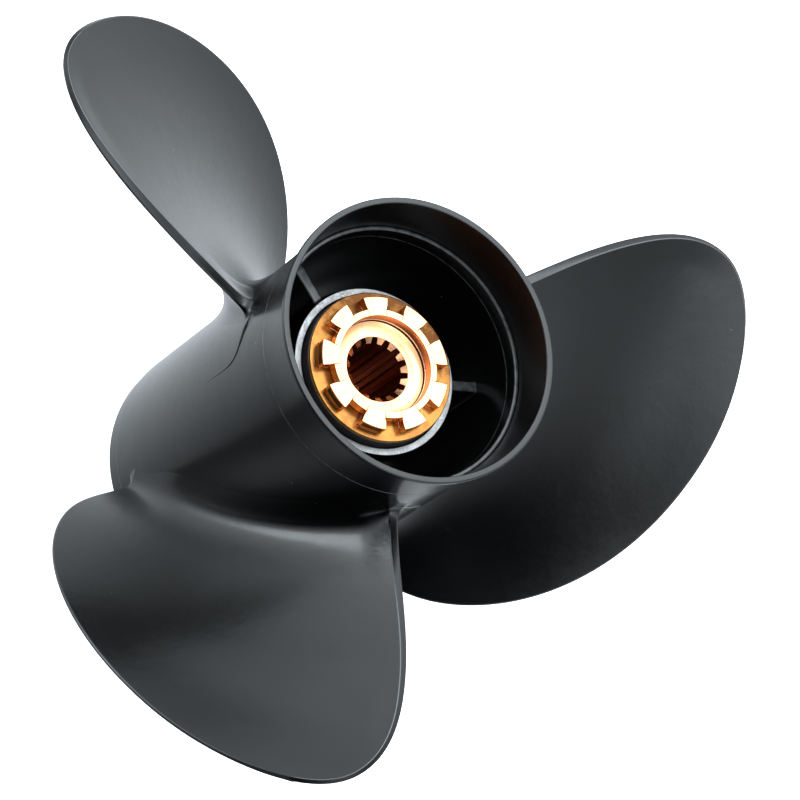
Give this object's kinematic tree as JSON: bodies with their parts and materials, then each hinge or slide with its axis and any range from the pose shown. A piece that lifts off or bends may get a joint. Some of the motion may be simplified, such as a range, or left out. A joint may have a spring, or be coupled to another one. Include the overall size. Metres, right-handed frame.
{
  "type": "outboard motor propeller",
  "caption": "Right-hand boat propeller with broad raked blades on a through-hub exhaust barrel with a flared aft rim and a splined brass and rubber hub.",
  "frame": {"origin": "centre of mass, on the shaft axis, 82.3 mm aft of the barrel's forward face", "axes": "+Z along the shaft towards the flared aft rim, +X along the reference line of blade_1"},
  "size_m": [0.2903, 0.3132, 0.172],
  "materials": {
    "black_paint": "satin black paint on cast aluminium",
    "machined_aluminium": "turned grey aluminium",
    "black_rubber": "matt rubber",
    "dull_brass": "dull golden brass",
    "bright_brass": "bright machined brass"
  },
  "bodies": {
    "root": {"hub_barrel": "black_paint", "diffuser_ring": "black_paint", "inner_hub": "machined_aluminium", "rib_1": "black_paint", "rib_2": "black_paint", "rib_3": "black_paint", "blade_1": "black_paint", "blade_2": "black_paint", "blade_3": "black_paint", "rubber_bushing": "black_rubber", "splined_sleeve": "bright_brass", "flange_washer": "dull_brass", "castellated_ring": "bright_brass"}
  },
  "joints": []
}
